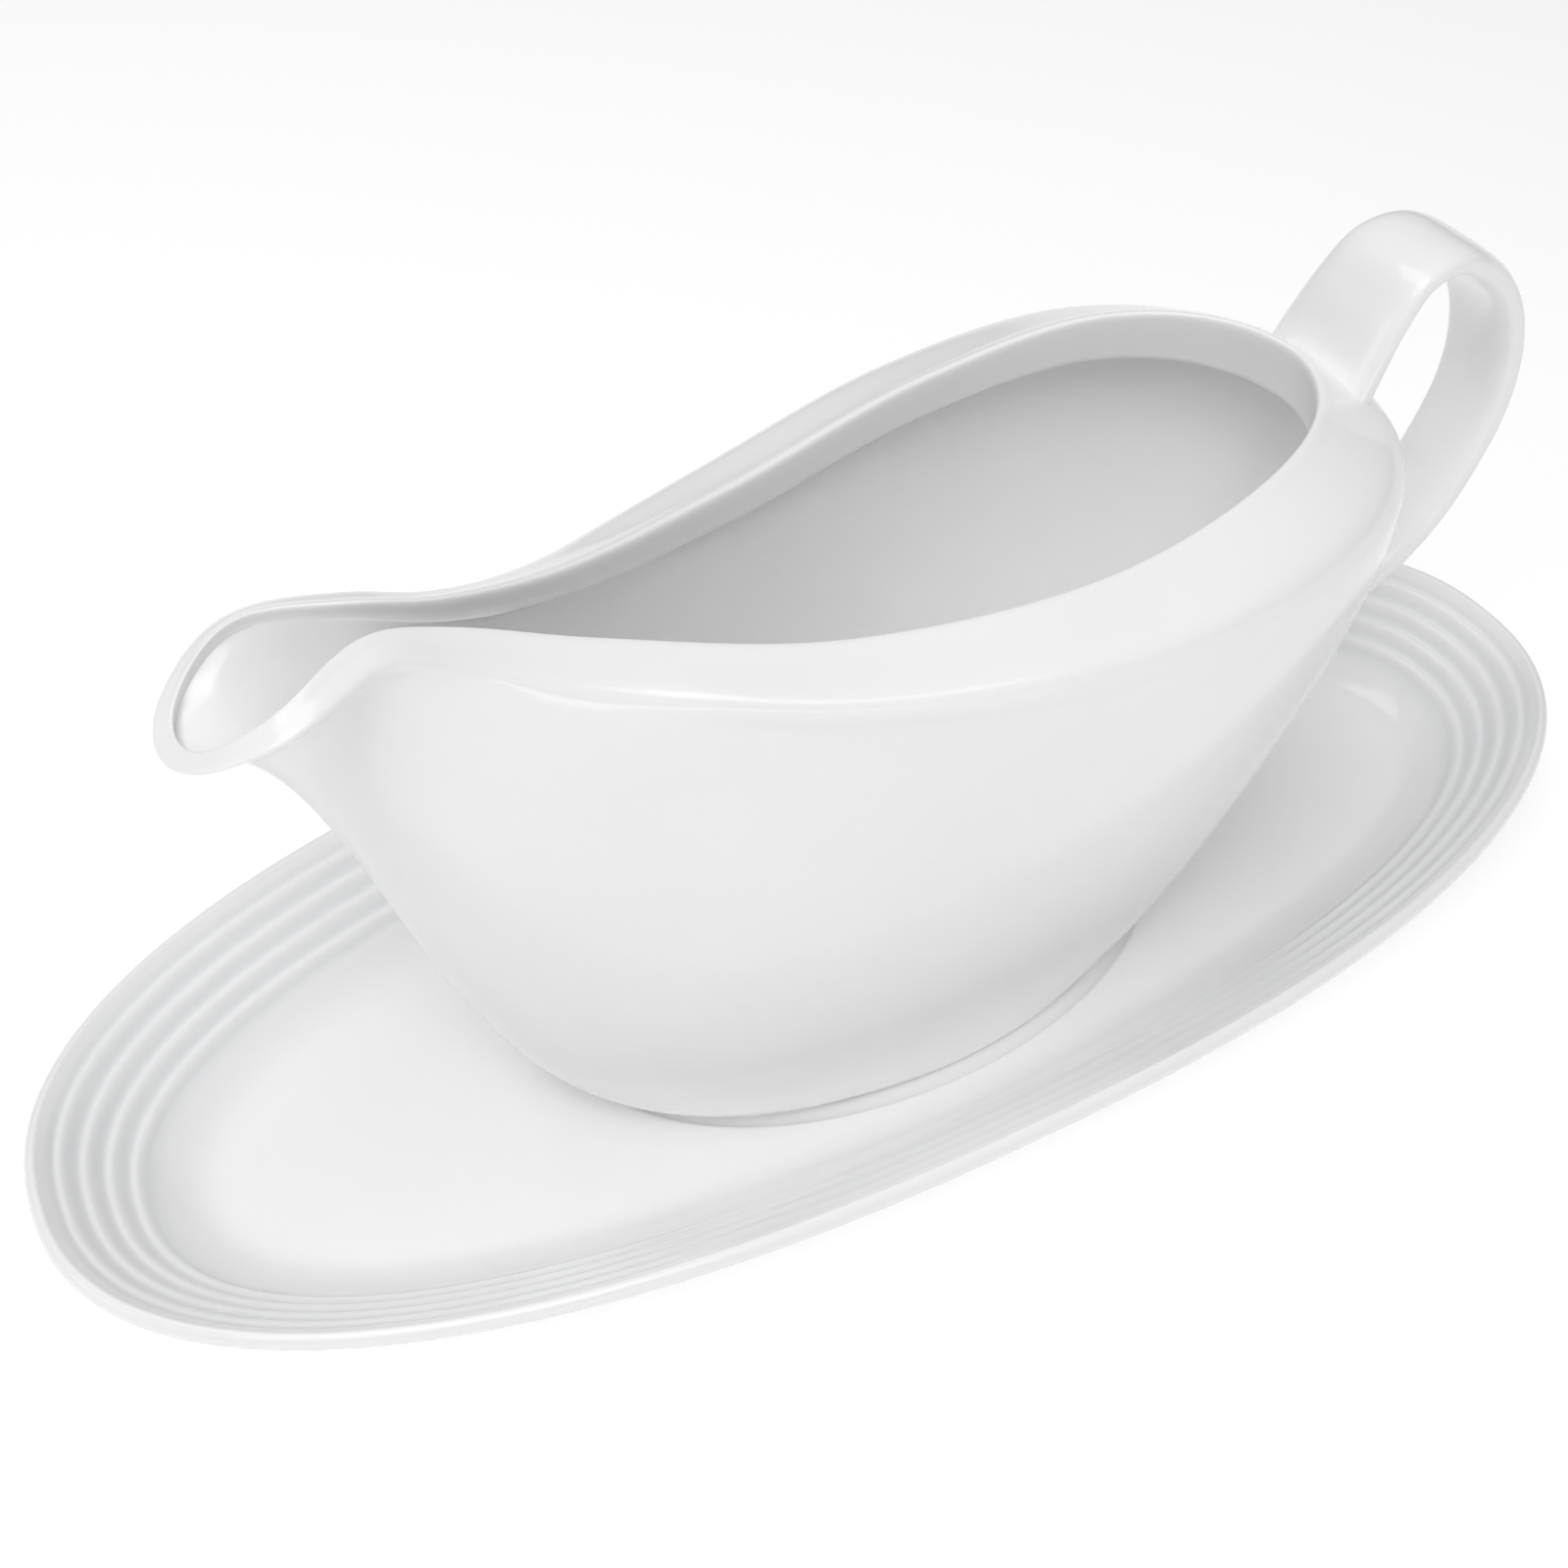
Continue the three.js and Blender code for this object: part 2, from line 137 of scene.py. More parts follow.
def ease(t):
    """A smooth step from 0 to 1."""
    t = np.clip(t, 0, 1)
    return t * t * (3 - 2 * t)


def catmull(points, count, closed):
    """Centripetal Catmull-Rom through the points, at count even steps of parameter."""
    P = np.array(points, float)
    n = len(P)
    spans = n if closed else n - 1
    out = []
    for t in np.linspace(0, spans, count, endpoint=not closed):
        i = min(int(t), spans - 1)
        w = t - i
        if closed:
            p = [P[(i + k) % n] for k in (-1, 0, 1, 2)]
        else:
            first = 2 * P[0] - P[1] if i == 0 else P[i - 1]
            last = 2 * P[-1] - P[-2] if i + 2 > n - 1 else P[i + 2]
            p = [first, P[i], P[i + 1], last]
        d = [max(np.linalg.norm(p[k + 1] - p[k]) ** 0.5, 1e-6) for k in range(3)]
        t1 = ((p[1] - p[0]) / d[0] - (p[2] - p[0]) / (d[0] + d[1]) + (p[2] - p[1]) / d[1]) * d[1]
        t2 = ((p[2] - p[1]) / d[1] - (p[3] - p[1]) / (d[1] + d[2]) + (p[3] - p[2]) / d[2]) * d[1]
        a2 = -3 * p[1] + 3 * p[2] - 2 * t1 - t2
        a3 = 2 * p[1] - 2 * p[2] + t1 + t2
        out.append(p[1] + t1 * w + a2 * w * w + a3 * w ** 3)
    return np.array(out)


def by_length(curve, shares, closed):
    """Points of the curve at shares of its length."""
    line = np.vstack([curve, curve[:1]]) if closed else curve
    s = np.r_[0, np.cumsum(np.linalg.norm(np.diff(line, axis=0), axis=1))]
    return np.stack([np.interp(shares * s[-1], s, line[:, k]) for k in range(line.shape[1])], 1)


def soften(ring, width):
    """Gaussian smoothing round a closed ring of evenly spaced samples; width in samples."""
    f = np.fft.rfftfreq(len(ring))
    g = np.exp(-2 * (pi * f * width) ** 2)
    if ring.ndim == 1:
        return np.fft.irfft(np.fft.rfft(ring) * g, len(ring))
    return np.fft.irfft(np.fft.rfft(ring, axis=0) * g[:, None], len(ring), axis=0)


def stations(table, s):
    """A table of (position, value) read at s."""
    xs, ys = zip(*table)
    return np.interp(s, xs, ys)


def bez(points, count, skip_first=False):
    """Bezier of any degree through arrays of control points (N,3); returns count rings."""
    n = len(points) - 1
    rings = []
    for t in np.linspace(0, 1, count)[(1 if skip_first else 0):]:
        rings.append(sum(math.comb(n, k) * t ** k * (1 - t) ** (n - k) * points[k]
                         for k in range(n + 1)))
    return rings


def corner(before, at, after):
    """Control points of a rounded corner whose curve passes at the corner itself."""
    shift = (2 * at - before - after) * 3 / 16
    b, m, a = before + shift, at + shift, after + shift
    return [b, (b + m) / 2, m, (m + a) / 2, a]


def unit(v):
    """Each vector at length one."""
    return v / (np.linalg.norm(v, axis=-1, keepdims=True) + 1e-12)


def make_mesh(name, rings, start, end, fields):
    """A closed smooth skin from rings (R lists of N points), with a point at each end.
    Each field holds one value for every ring."""
    R, N = len(rings), len(rings[0])
    co = np.vstack([[start], np.concatenate(rings), [end]]) * MM
    faces = []
    last = len(co) - 1
    for k in range(N):
        m = (k + 1) % N
        faces.append((0, 1 + m, 1 + k))
        for r in range(R - 1):
            a, b = 1 + r * N + k, 1 + r * N + m
            faces.append((a, b, b + N, a + N))
        base = 1 + (R - 1) * N
        faces.append((base + k, base + m, last))
    mesh = bpy.data.meshes.new(name)
    mesh.from_pydata(co.tolist(), [], faces)
    mesh.polygons.foreach_set("use_smooth", [True] * len(mesh.polygons))
    for key, values in fields.items():
        full = np.concatenate([[values[0]], np.repeat(values, N), [values[-1]]]).astype(np.float32)
        attribute = mesh.attributes.new(key, "FLOAT", "POINT")
        attribute.data.foreach_set("value", full)
    mesh.update()
    obj = bpy.data.objects.new(name, mesh)
    bpy.context.scene.collection.objects.link(obj)
    return obj


# ------------------------------------------------------------------ porcelain

GLAZE_COOL = (0.925, 0.927, 0.930, 1)
GLAZE_WARM = (0.945, 0.944, 0.942, 1)
# painted shade: a greyer glaze for the hollows, where the glaze also stands thicker
GLAZE_SHADED_POOL = (0.885, 0.892, 0.900, 1)
CLAY_DARK = (0.62, 0.59, 0.54, 1)
CLAY_PALE = (0.76, 0.73, 0.68, 1)
GLAZE_ROUGHNESS = (0.10, 0.16)
CLAY_ROUGHNESS = 0.85


def porcelain(name, seed):
    """Clear-glazed white porcelain. Fields on the mesh: bare marks unglazed clay on the
    foot rings; the second field marks hollows, which get painted shade, a greyer glaze, where the
    glaze also stands a little thicker."""
    mat = bpy.data.materials.new(name)
    mat.use_nodes = True
    nt = mat.node_tree
    nt.nodes.clear()
    N, L = nt.nodes.new, nt.links.new
    out = N("ShaderNodeOutputMaterial")
    bsdf = N("ShaderNodeBsdfPrincipled")
    L(bsdf.outputs[0], out.inputs["Surface"])
    coords = N("ShaderNodeTexCoord")
    shift = N("ShaderNodeMapping")
    shift.inputs["Location"].default_value = (seed * 1.7, seed * 0.9, seed * 2.3)
    L(coords.outputs["Object"], shift.inputs["Vector"])

    def noise(scale, detail, rough=0.5):
        n = N("ShaderNodeTexNoise")
        n.inputs["Scale"].default_value = scale
        n.inputs["Detail"].default_value = detail
        n.inputs["Roughness"].default_value = rough
        L(shift.outputs[0], n.inputs["Vector"])
        return n.outputs["Fac"]

    def ramp(value, lo, hi, a, b):
        r = N("ShaderNodeMapRange")
        r.inputs["From Min"].default_value = lo
        r.inputs["From Max"].default_value = hi
        r.inputs["To Min"].default_value = a
        r.inputs["To Max"].default_value = b
        L(value, r.inputs["Value"])
        return r.outputs[0]

    def mix(factor, a, b):
        """A mix of two colours, each a plain colour or a socket."""
        m = N("ShaderNodeMix")
        m.data_type = "RGBA"
        L(factor, m.inputs["Factor"])
        for socket, value in ((m.inputs[6], a), (m.inputs[7], b)):
            if isinstance(value, tuple):
                socket.default_value = value
            else:
                L(value, socket)
        return m.outputs[2]

    def field(key):
        a = N("ShaderNodeAttribute")
        a.attribute_name = key
        return a.outputs["Fac"]

    bare, pool_shade = field("bare"), field("pool_shade")
    glaze = mix(ramp(noise(38, 3), 0.35, 0.65, 0, 1), GLAZE_COOL, GLAZE_WARM)
    # painted shade: hollows mixed towards the greyer glaze
    shaded_glaze = mix(pool_shade, glaze, GLAZE_SHADED_POOL)
    clay = mix(ramp(noise(900, 4, 0.65), 0.3, 0.7, 0, 1), CLAY_DARK, CLAY_PALE)
    L(mix(bare, shaded_glaze, clay), bsdf.inputs["Base Color"])

    glaze_rough = ramp(noise(60, 4, 0.6), 0.3, 0.7, *GLAZE_ROUGHNESS)
    rough = N("ShaderNodeMix")
    rough.data_type = "FLOAT"
    L(bare, rough.inputs["Factor"])
    L(glaze_rough, rough.inputs[2])
    rough.inputs[3].default_value = CLAY_ROUGHNESS
    L(rough.outputs[0], bsdf.inputs["Roughness"])
    bsdf.inputs["IOR"].default_value = 1.5

    def bump(height, distance, strength, below=None):
        b = N("ShaderNodeBump")
        b.inputs["Distance"].default_value = distance
        if isinstance(strength, float):
            b.inputs["Strength"].default_value = strength
        else:
            L(strength, b.inputs["Strength"])
        L(height, b.inputs["Height"])
        if below:
            L(below, b.inputs["Normal"])
        return b.outputs[0]

    # the glaze's slow waver and its fine orange peel, and the grain of bare clay
    waver = bump(noise(70, 2), 0.0006, 0.06)
    peel = bump(noise(850, 2), 0.0001, 0.02, waver)
    grain = bump(noise(2600, 3, 0.7), 0.0002, bare, peel)
    L(grain, bsdf.inputs["Normal"])
    return mat


# ------------------------------------------------------------------ saucer

N_SAUCER = 448              # points round a ring
RIM_STEPS = 9
RIB_STEP = 0.2              # inset between rings on the ribbed wall


def plan(half_a, half_b, z, power=PLAN_POWER):
    """A level superellipse ring."""
    a = 2 * pi * np.arange(N_SAUCER) / N_SAUCER
    c, s = np.cos(a), np.sin(a)
    x = half_a * np.sign(c) * np.abs(c) ** (2 / power)
    y = half_b * np.sign(s) * np.abs(s) ** (2 / power)
    return np.stack([x, y, np.full(N_SAUCER, z)], 1)


def rib_share(x):
    """How much of their full depth the ribs have: all of it round both ends, little between."""
    begin, length = RIB_FADE
    return RIB_LEAST + (1 - RIB_LEAST) * ease((np.abs(x) - begin) / length)


def ribbed_wall(d):
    """Ring of the saucer's inner wall at inset d, and how much painted shade its hollows get,
    where the glaze also stands thicker.
    """
    ring = plan(A - d, B - d, RIM_Z - WALL_SLOPE * (d - RIM_ROUND))
    begin, length = RIB_START
    on = float(ease((d - begin) / length))
    wave = math.cos(2 * pi * (d - RIB_FIRST) / RIB_PITCH)
    ring[:, 2] += on * RIB_DEPTH * wave * rib_share(ring[:, 0])
    # painted shade in the troughs between the ribs
    return ring, on * 0.5 * (1 - wave)


def well_face(x, y):
    """Height inside the ribbed wall: the sweep down to the well, less the oval seat, and painted
    shade along the seat's edge.
    """
    lo, hi = np.full_like(x, WALL_END - 0.5), np.full_like(x, B - 0.5)
    for _ in range(40):
        d = (lo + hi) / 2
        inside = (np.abs(x) / (A - d)) ** PLAN_POWER + (np.abs(y) / (B - d)) ** PLAN_POWER < 1
        lo, hi = np.where(inside, d, lo), np.where(inside, hi, d)
    left = np.clip(1 - (d - WALL_END) / SWEEP, 0, 1)
    top = WELL_Z + (RIM_Z - WALL_SLOPE * (WALL_END - RIM_ROUND) - WELL_Z) * left ** SWEEP_POWER
    e = np.sqrt((x / SEAT_A) ** 2 + (y / SEAT_B) ** 2) + 1e-9
    r = np.sqrt(x * x + y * y)
    steep = np.sqrt((x / SEAT_A ** 2) ** 2 + (y / SEAT_B ** 2) ** 2)
    gap = (1 - e) * r / e / np.maximum(1, steep * r / e)
    outside, width = SEAT_EDGE
    cut = ease((gap + outside) / width)
    # painted shade along the seat's edge, strongest halfway down its step
    return top + (SEAT_Z - top) * cut, cut * (1 - cut) * 2


def build_saucer():
    """The saucer from the middle of its underside, round the rim, to the middle of its seat."""
    rings, bare, pool_shade = [], [], []

    def add(ring, b=0.0, p=0.0):
        rings.append(ring)
        bare.append(b)
        pool_shade.append(p)

    def inset(d, z, b=0.0, p=0.0):
        add(plan(A - d, B - d, z), b, p)

    add(plan(*SAUCER_MIDDLE, UNDERSIDE_Z))
    for d, z in RING_INSIDE:
        inset(d, z)
    for d, z in RING_BARE:
        inset(d, z, 1.0)
    for d, z in RING_OUTSIDE:
        inset(d, z)
    for d, z in WALL_BACK:
        inset(d, z + RIM_Z - WALL_BACK_RIM)
    for a in np.radians(np.linspace(-10, 90, RIM_STEPS)):
        inset(RIM_ROUND - RIM_ROUND * math.cos(a), RIM_Z - RIM_ROUND + RIM_ROUND * math.sin(a))
    for d in np.arange(RIM_ROUND + 0.25, WALL_END, RIB_STEP):
        # painted shade in the rib troughs
        ring, p = ribbed_wall(d)
        add(ring, 0, p)
    # sweep, flat well and the shallow seat, all on rings that close in on the seat's oval
    wall_foot = plan(A - WALL_END, B - WALL_END, 0)
    seat = plan(SEAT_A, SEAT_B, 0, 2)
    for t in np.r_[np.linspace(0.03, 0.86, 34), np.linspace(0.87, 1.02, 22)]:
        ring = wall_foot + (seat - wall_foot) * t
        ring[:, 2], p = well_face(ring[:, 0], ring[:, 1])
        # painted shade along the seat's edge, averaged round each ring
        add(ring, 0, float(p.mean()))
    for share in (0.96, 0.93, 0.90, 0.87, 0.8, 0.65, 0.45, 0.2):
        ring = seat * share
        ring[:, 2], _ = well_face(ring[:, 0], ring[:, 1])
        add(ring)
    obj = make_mesh("saucer_glazed", rings, (0, 0, UNDERSIDE_Z), (0, 0, SEAT_Z),
                    {"bare": np.array(bare), "pool_shade": np.array(pool_shade)})
    obj.data.materials.append(porcelain("saucer_porcelain", 1))
    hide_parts("saucer")
    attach(obj, "saucer")
    return obj


# ------------------------------------------------------------------ boat body

N_BOAT = 320                # points round a ring
N_DENSE = 1024              # points of the mouth's edge while it is softened
CROWDING = 0.35             # how much closer the points stand at the spout
TURN_POWER = 1.88           # how the foot's angle keeps pace with the mouth's length


def mouth_frames():
    """The mouth's inner edge as N_BOAT points, with each one's level outward direction, its
    angle round the foot, and its values from the tables."""
    other = [(x, -y, z) for x, y, z in MOUTH[1:-1][::-1]]
    raw = catmull(MOUTH + other, 2200, True)
    dense = np.arange(N_DENSE) / N_DENSE
    even = soften(by_length(raw, dense, True), 5.0)
    v = np.arange(N_BOAT) / N_BOAT
    u = v - CROWDING * np.sin(2 * pi * v) / (2 * pi)
    edge = by_length(even, u, True)

    def from_spout(t):
        return np.where(t <= 0.5, 2 * t, 2 - 2 * t)

    def spread(table):
        values = soften(stations(table, from_spout(dense)), 13)
        return np.interp(u, np.arange(N_DENSE + 1) / N_DENSE, np.r_[values, values[0]])

    tangent = np.roll(edge, -1, 0) - np.roll(edge, 1, 0)
    out = unit(np.stack([-tangent[:, 1], tangent[:, 0], np.zeros(N_BOAT)], 1))
    side = np.where(u <= 0.5, 1, -1)
    phi = pi * (1 - from_spout(u) ** TURN_POWER) * side
    return dict(edge=edge, out=out, phi=phi, width=spread(COLLAR_WIDTH),
                drop=spread(COLLAR_DROP), face=spread(LIP_FACE), swell=spread(SWELL))


def keep_ends(phi, ring, plain, near_front, near_back):
    """The plain ring moved so that its front and back points are where the ring's are."""
    c = np.cos(phi)
    for end, near in ((np.argmin(c), near_front), (np.argmax(c), near_back)):
        gap = ring[end] - plain[end]
        gap[1] = 0
        plain = plain + near[:, None] * gap
    return plain


def hull(phi, ring):
    """The ring evened out to a plain egg: its lowest waves round phi, with both ends kept."""
    even = -pi + 2 * pi * np.arange(720) / 720
    order = np.argsort(phi)
    fits = []
    for k, (wave, first) in enumerate(((np.cos, 0), (np.sin, 1), (np.cos, 0))):
        raw = np.interp(even, phi[order], ring[order, k], period=2 * pi)
        basis = np.stack([wave(n * even) for n in range(first, 4)], 1)
        coef = np.linalg.lstsq(basis, raw, rcond=None)[0]
        fits.append(np.stack([wave(n * phi) for n in range(first, 4)], 1) @ coef)
    c = np.cos(phi)
    return keep_ends(phi, ring, np.stack(fits, 1), np.maximum(0, -c) ** 6, np.maximum(0, c) ** 6)


def even_out(phi, ring, width):
    """Soften a ring along its length, with its two ends put back where they were."""
    if width < 0.1:
        return ring
    c = np.cos(phi)
    return keep_ends(phi, ring, soften(ring, width), ((1 - c) / 2) ** 4, ((1 + c) / 2) ** 4)


def build_body():
    """The boat's body from the middle of its foot, up the belly, over the lip and down the
    inner wall to the middle of its floor. Heights here are above the foot."""
    f = mouth_frames()
    up = np.array([0, 0, 1.0])
    phi, out = f["phi"], f["out"]
    c = np.cos(phi)
    back, front = np.maximum(0, c) ** BELLY_REACH, np.maximum(0, -c) ** BELLY_REACH
    side = 1 - back - front

    def blend(key):
        return (back * BELLY["back"][key] + front * BELLY["front"][key]
                + side * BELLY["side"][key])

    def met(ring, down):
        """Where the wall below a ring bends in: the ring shifted, widened and let down."""
        return hull(phi, np.stack([ring[:, 0] + blend("shift"), ring[:, 1] * blend("widen"),
                                   ring[:, 2] - blend(down)], 1))

    def foot(inset, z):
        return np.stack([FOOT_X + (FOOT_A - inset) * np.cos(phi), (FOOT_B - inset) * np.sin(phi),
                         np.full(len(phi), float(z))], 1)

    foot_out = unit(np.stack([np.cos(phi) / FOOT_A, np.sin(phi) / FOOT_B, 0 * phi], 1))
    lift = np.array([0, 0, BOAT_Z])
    rings, bare = [], []

    def add(new, b=0.0):
        for r in new:
            rings.append((r + lift)[::-1])
            bare.append(b)

    # recessed foot with a bare ring to stand on
    add([foot(*at) for at in RECESS])
    add([foot(*at) for at in FOOT_BARE], 1.0)
    add([foot(*at) for at in FOOT_EDGE])

    # belly
    ridge = f["edge"] + out * f["width"][:, None] - up * f["drop"][:, None]
    start = foot(0, FOOT_TOP)
    leave = hull(phi, start + foot_out * blend("out")[:, None] + up * blend("up")[:, None])
    meet = met(ridge, "down")
    rise = unit(ridge - meet)
    top = f["edge"] + up * 0.4
    slope = unit(top - ridge)
    collar = np.linalg.norm(top - ridge, axis=1)
    bend = np.minimum(5.0, 0.42 * collar)[:, None]
    swell = unit(rise - slope) * f["swell"][:, None]
    shoulder = corner(ridge - rise * bend, ridge + swell, ridge + slope * bend)
    belly = bez([start, leave, meet, shoulder[0]], 44)
    for i, ring in enumerate(belly):
        t = i / (len(belly) - 1)
        belly[i] = even_out(phi, ring, 24 * t ** 1.7 * (1 - t) ** 0.8)
    add(belly)
    add(bez(shoulder, 12, True))

    # collar and the rounded crest of the lip
    face_dir = unit(-up + 0.04 * out)
    crest_in = np.minimum(2.4, 0.42 * collar)[:, None]
    crest_down = np.minimum(2.0, 0.45 * f["face"])[:, None]
    crest = corner(top - slope * crest_in, top, top + face_dir * crest_down)
    add(bez([shoulder[-1], shoulder[-1] + (shoulder[-1] - shoulder[-2]) * 0.5,
             crest[0] - (crest[1] - crest[0]) * 0.5, crest[0]], 8, True))
    add(bez(crest, 12, True))

    # lip face, its lower edge, and the step back to the inner wall
    shelf = np.maximum(0, f["width"] - 4.4)
    lower = top + face_dir * (f["face"] + 0.4)[:, None]
    hollow = f["edge"] + out * shelf[:, None] - up * (f["face"] + 0.45 * shelf + 0.3)[:, None]
    reach = np.linalg.norm(hollow - lower, axis=1)[:, None]
    shelf_dir = unit(hollow - lower)
    edge_up = np.minimum(0.9, 0.3 * f["face"][:, None])
    edge_in = np.minimum(0.9, 0.4 * reach)
    edge = corner(lower - face_dir * edge_up, lower, lower + shelf_dir * edge_in)
    add([crest[-1] + (edge[0] - crest[-1]) * t for t in (0.33, 0.66)])
    add(bez(edge, 8))

    # inner wall and floor
    start_in = foot(FLOOR_INSET, FLOOR_Z)
    leave_in = hull(phi, start_in + foot_out * (blend("out") + 1)[:, None]
                    + up * (blend("up") + 1)[:, None])
    meet_in = met(hollow, "inner")
    fall = unit(meet_in - hollow)
    back_in = np.minimum(2.6, 0.45 * reach)
    down_in = np.minimum(2.8, 0.6 + 0.5 * reach)
    turn = corner(hollow - shelf_dir * back_in, hollow, hollow + fall * down_in)
    add(bez(turn, 8))
    add(bez([turn[-1], meet_in, leave_in, start_in], 40, True))
    floor_centre = np.array([FOOT_X, 0, FLOOR_Z])
    add([start_in + (floor_centre - start_in) * t for t in (0.12, 0.3, 0.55, 0.8, 0.95)])
    recess_centre = np.array([FOOT_X, 0, RECESS[0][1]])
    obj = make_mesh("boat_body_glazed", rings, recess_centre + lift, floor_centre + lift,
                    {"bare": np.array(bare), "pool_shade": np.zeros(len(rings))})
    obj.data.materials.append(porcelain("boat_porcelain", 2))
    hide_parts("boat_body")
    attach(obj, "boat")
    return obj


# ------------------------------------------------------------------ handle


STRAP_STEPS = 240           # samples of the strap's middle line
STRAP_SIDES = 64            # points round its section
STRAP_RINGS = 170           # rings of the finished strap
SLIP_RISE = (0.6, 0.0, 0.6)     # fillet of slip at each end: how far it stands out
SLIP_RUN, SLIP_POWER = 3.2, 2.4
ROOT_DEPTH, ROOT_TAPER = 0.9, 0.97
UNDER_SKIN = 0.02           # depth below the body's skin at which a strand ends


def strap_grid():
    """The whole strap as samples along by points round, and its outward directions."""
    raw = catmull([(x, 0, z) for x, z in STRAP], 900, False)
    u = np.linspace(0.0, 1.0, STRAP_STEPS)
    path = by_length(raw, u, False)
    tangent = unit(np.gradient(path, axis=0))
    normal = np.stack([-tangent[:, 2], 0 * u, tangent[:, 0]], 1)
    half = stations(STRAP_HALF, u)
    half = np.convolve(np.pad(half, 20, mode="edge"), np.ones(41) / 41, "valid")
    thick = stations(STRAP_THICK, u)
    a = 2 * pi * np.arange(STRAP_SIDES) / STRAP_SIDES
    across = np.sign(np.cos(a)) * np.abs(np.cos(a)) ** 0.5
    rise = np.sign(np.sin(a)) * np.abs(np.sin(a)) ** 0.8
    grid = (path[:, None, :] + normal[:, None, :] * (rise[None, :] * thick[:, None])[:, :, None]
            + np.array([0, 1, 0]) * (across[None, :, None] * half[:, None, None]))
    grid[:, :, 2] += BOAT_Z
    return grid, unit(grid - (path + np.array([0, 0, BOAT_Z]))[:, None, :])


def root_under(ring, neighbour):
    """A ring a little further on than this one, away from its neighbour and drawn in."""
    root = ring + unit(ring - neighbour) * ROOT_DEPTH
    centre = root.mean(0)
    return centre + (root - centre) * ROOT_TAPER


def build_handle(body):
    """The strap, each of whose strands runs from the body's skin to the body's skin."""
    grid, outward = strap_grid()
    skin = BVHTree.FromObject(body, bpy.context.evaluated_depsgraph_get())

    def depth(p):
        near, n, _, _ = skin.find_nearest(Vector(p) * MM)
        return (near - Vector(p) * MM).dot(n) / MM

    # march out from the middle until the strand goes under
    ends = np.zeros((STRAP_SIDES, 2))
    for k in range(STRAP_SIDES):
        for e, step in ((0, -1), (1, 1)):
            i = STRAP_STEPS // 2
            while 0 < i < STRAP_STEPS - 1 and depth(grid[i, k]) < UNDER_SKIN:
                i += step
            ends[k, e] = i
    for e in (0, 1):
        ends[:, e] = soften(ends[:, e], 1.6)
    rings = []
    for w in np.arange(STRAP_RINGS) / (STRAP_RINGS - 1):
        at = ends[:, 0] + (ends[:, 1] - ends[:, 0]) * w
        ring = np.zeros((STRAP_SIDES, 3))
        for k in range(STRAP_SIDES):
            for c in range(3):
                ring[k, c] = np.interp(at[k], np.arange(STRAP_STEPS), grid[:, k, c])
            # slip smoothed into the corner at each end
            run = min(at[k] - ends[k, 0], ends[k, 1] - at[k]) * 0.69
            i = min(int(round(at[k])), STRAP_STEPS - 1)
            ring[k] += outward[i, k] * SLIP_RISE * max(0.0, 1 - run / SLIP_RUN) ** SLIP_POWER
        rings.append(ring)
    rings = [root_under(rings[0], rings[1])] + rings + [root_under(rings[-1], rings[-2])]
    plain = np.zeros(len(rings))
    obj = make_mesh("boat_handle_glazed", rings, rings[0].mean(0), rings[-1].mean(0),
                    {"bare": plain, "pool_shade": plain})
    obj.data.materials.append(porcelain("handle_porcelain", 3))
    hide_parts("boat_handle")
    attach(obj, "boat")
    return obj


build_saucer()
build_handle(build_body())

# ------------------------------------------------------------------ floor, light, camera
# Places, sizes and distances from here on are in metres, unless they carry MM.

FLOOR_HALF = 9.0
FLOOR_GLOW = 0.26           # keeps the pale floor near white between the lights
SOFT_LIGHTS = [             # name, place, size, power in watts
    ("front_low", (-0.27, -0.95, 0.15), (0.36, 0.13), 0.40),
    ("front_high", (-0.38, -0.42, 0.95), (0.66, 0.56), 2.5),
    ("strip", (-0.22, -0.06, 1.0), (1.4, 0.40), 3.4),
    ("left", (-1.1, 0.1, 0.55), (0.35, 0.4), 0.5),
]
LIGHTS_AIM = (0, 0, 0.05)
DOME_LEVEL, DOME_ZENITH = 0.10, 0.60
BACKDROP = 0.88
CAMERA_ANGLES = (-26.75, 46.87, -0.72)      # azimuth, elevation and roll in degrees
CAMERA_AIM = (-11.34, 2.68, 36 + BOAT_Z)
CAMERA_DISTANCE = 226.76
CAMERA_LENS, CAMERA_SENSOR = 39.755, 36


def build_floor():
    """A wide pale floor for the saucer to stand on."""
    mesh = bpy.data.meshes.new("floor")
    s, z = FLOOR_HALF, TABLE_Z * MM
    mesh.from_pydata([(-s, -s, z), (s, -s, z), (s, s, z), (-s, s, z)], [], [(0, 1, 2, 3)])
    floor = bpy.data.objects.new("floor", mesh)
    bpy.context.scene.collection.objects.link(floor)
    mat = bpy.data.materials.new("floor_white")
    mat.use_nodes = True
    bsdf = mat.node_tree.nodes["Principled BSDF"]
    bsdf.inputs["Base Color"].default_value = (0.92, 0.92, 0.92, 1)
    bsdf.inputs["Roughness"].default_value = 0.9
    bsdf.inputs["Specular IOR Level"].default_value = 0.1
    bsdf.inputs["Emission Color"].default_value = (1, 1, 1, 1)
    bsdf.inputs["Emission Strength"].default_value = FLOOR_GLOW
    mesh.materials.append(mat)


def soft_light(name, place, size, power):
    """A rectangular light turned towards the object."""
    data = bpy.data.lights.new(name, "AREA")
    data.shape = "RECTANGLE"
    data.size, data.size_y = size
    data.energy = power
    obj = bpy.data.objects.new(name, data)
    bpy.context.scene.collection.objects.link(obj)
    obj.location = place
    aim = Vector(LIGHTS_AIM) - Vector(place)
    obj.rotation_euler = aim.to_track_quat("-Z", "Y").to_euler()


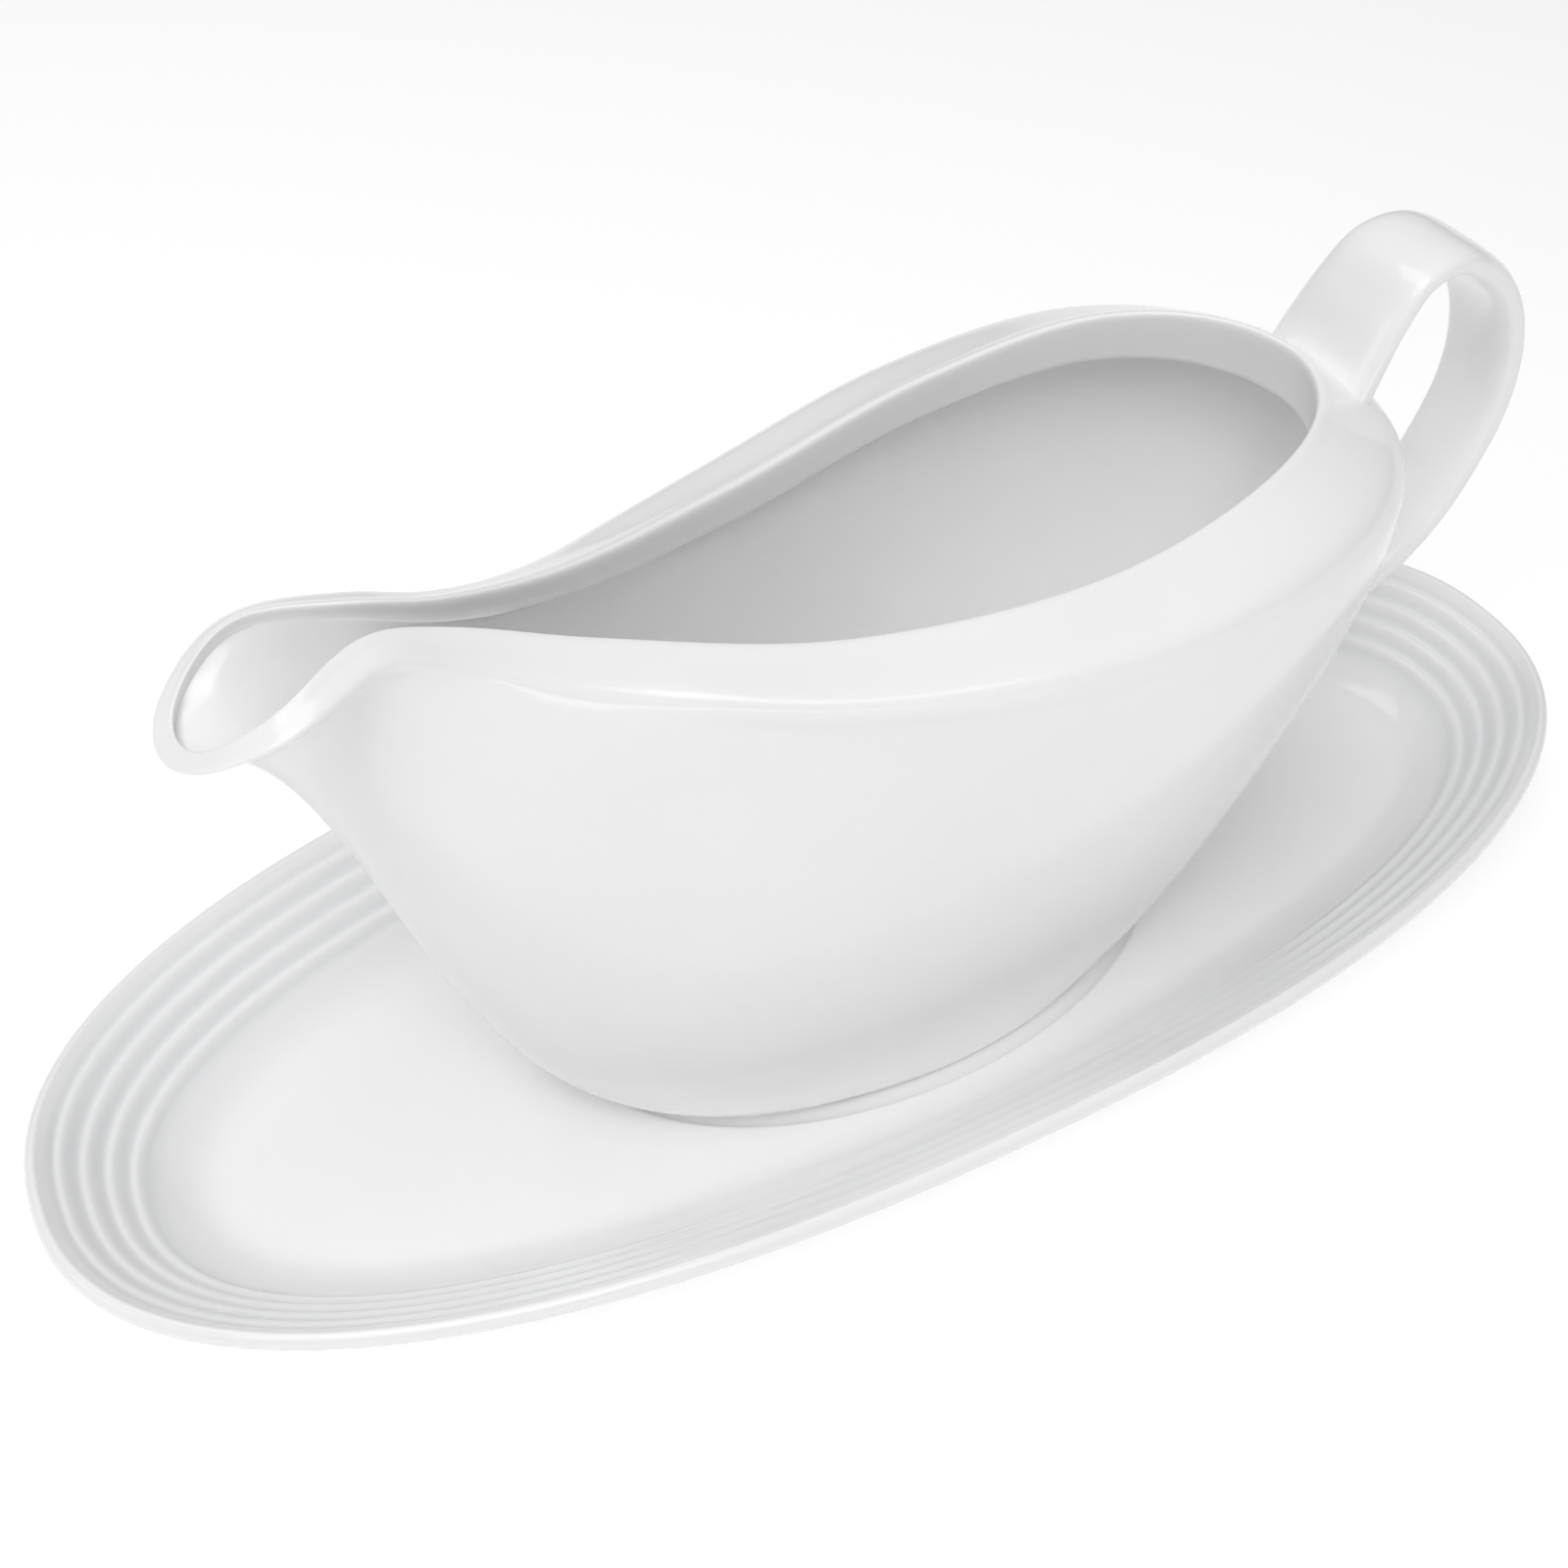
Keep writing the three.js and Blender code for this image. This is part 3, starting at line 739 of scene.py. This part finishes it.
def build_world():
    """A dome that lights brighter from overhead than from the horizon, and is itself seen as
    one pale tone beyond the floor."""
    world = bpy.data.worlds.new("studio")
    bpy.context.scene.world = world
    world.use_nodes = True
    nt = world.node_tree
    dome = nt.nodes["Background"]
    dome.inputs["Color"].default_value = (1, 1, 1, 1)
    coords = nt.nodes.new("ShaderNodeTexCoord")
    split = nt.nodes.new("ShaderNodeSeparateXYZ")
    height = nt.nodes.new("ShaderNodeMapRange")
    height.inputs["To Min"].default_value = DOME_LEVEL
    height.inputs["To Max"].default_value = DOME_ZENITH
    nt.links.new(coords.outputs["Generated"], split.inputs[0])
    nt.links.new(split.outputs["Z"], height.inputs["Value"])
    seen = nt.nodes.new("ShaderNodeLightPath")
    pick = nt.nodes.new("ShaderNodeMix")
    pick.inputs["B"].default_value = BACKDROP
    nt.links.new(seen.outputs["Is Camera Ray"], pick.inputs["Factor"])
    nt.links.new(height.outputs[0], pick.inputs["A"])
    nt.links.new(pick.outputs["Result"], dome.inputs["Strength"])


def build_camera():
    """The camera, placed back from its aim along its azimuth and elevation, then rolled."""
    azimuth, elevation, roll = (math.radians(v) for v in CAMERA_ANGLES)
    level = math.cos(elevation)
    back = Vector((math.sin(azimuth) * level, -math.cos(azimuth) * level, math.sin(elevation)))
    right = Vector((math.cos(azimuth), math.sin(azimuth), 0))
    up = back.cross(right)
    right, up = (right * math.cos(roll) + up * math.sin(roll),
                 up * math.cos(roll) - right * math.sin(roll))
    data = bpy.data.cameras.new("camera")
    data.sensor_width = CAMERA_SENSOR
    data.lens = CAMERA_LENS
    data.clip_start = 0.01
    cam = bpy.data.objects.new("camera", data)
    bpy.context.scene.collection.objects.link(cam)
    m = Matrix.Identity(4)
    for k, v in enumerate((right, up, back)):
        m[0][k], m[1][k], m[2][k] = v
    m.translation = (Vector(CAMERA_AIM) + back * CAMERA_DISTANCE) * MM
    cam.matrix_world = m
    bpy.context.scene.camera = cam


build_floor()
for light in SOFT_LIGHTS:
    soft_light(*light)
build_world()
build_camera()
bpy.context.scene.view_settings.view_transform = "Standard"
# light goes round many times inside a white vessel
bpy.context.scene.cycles.diffuse_bounces = 10
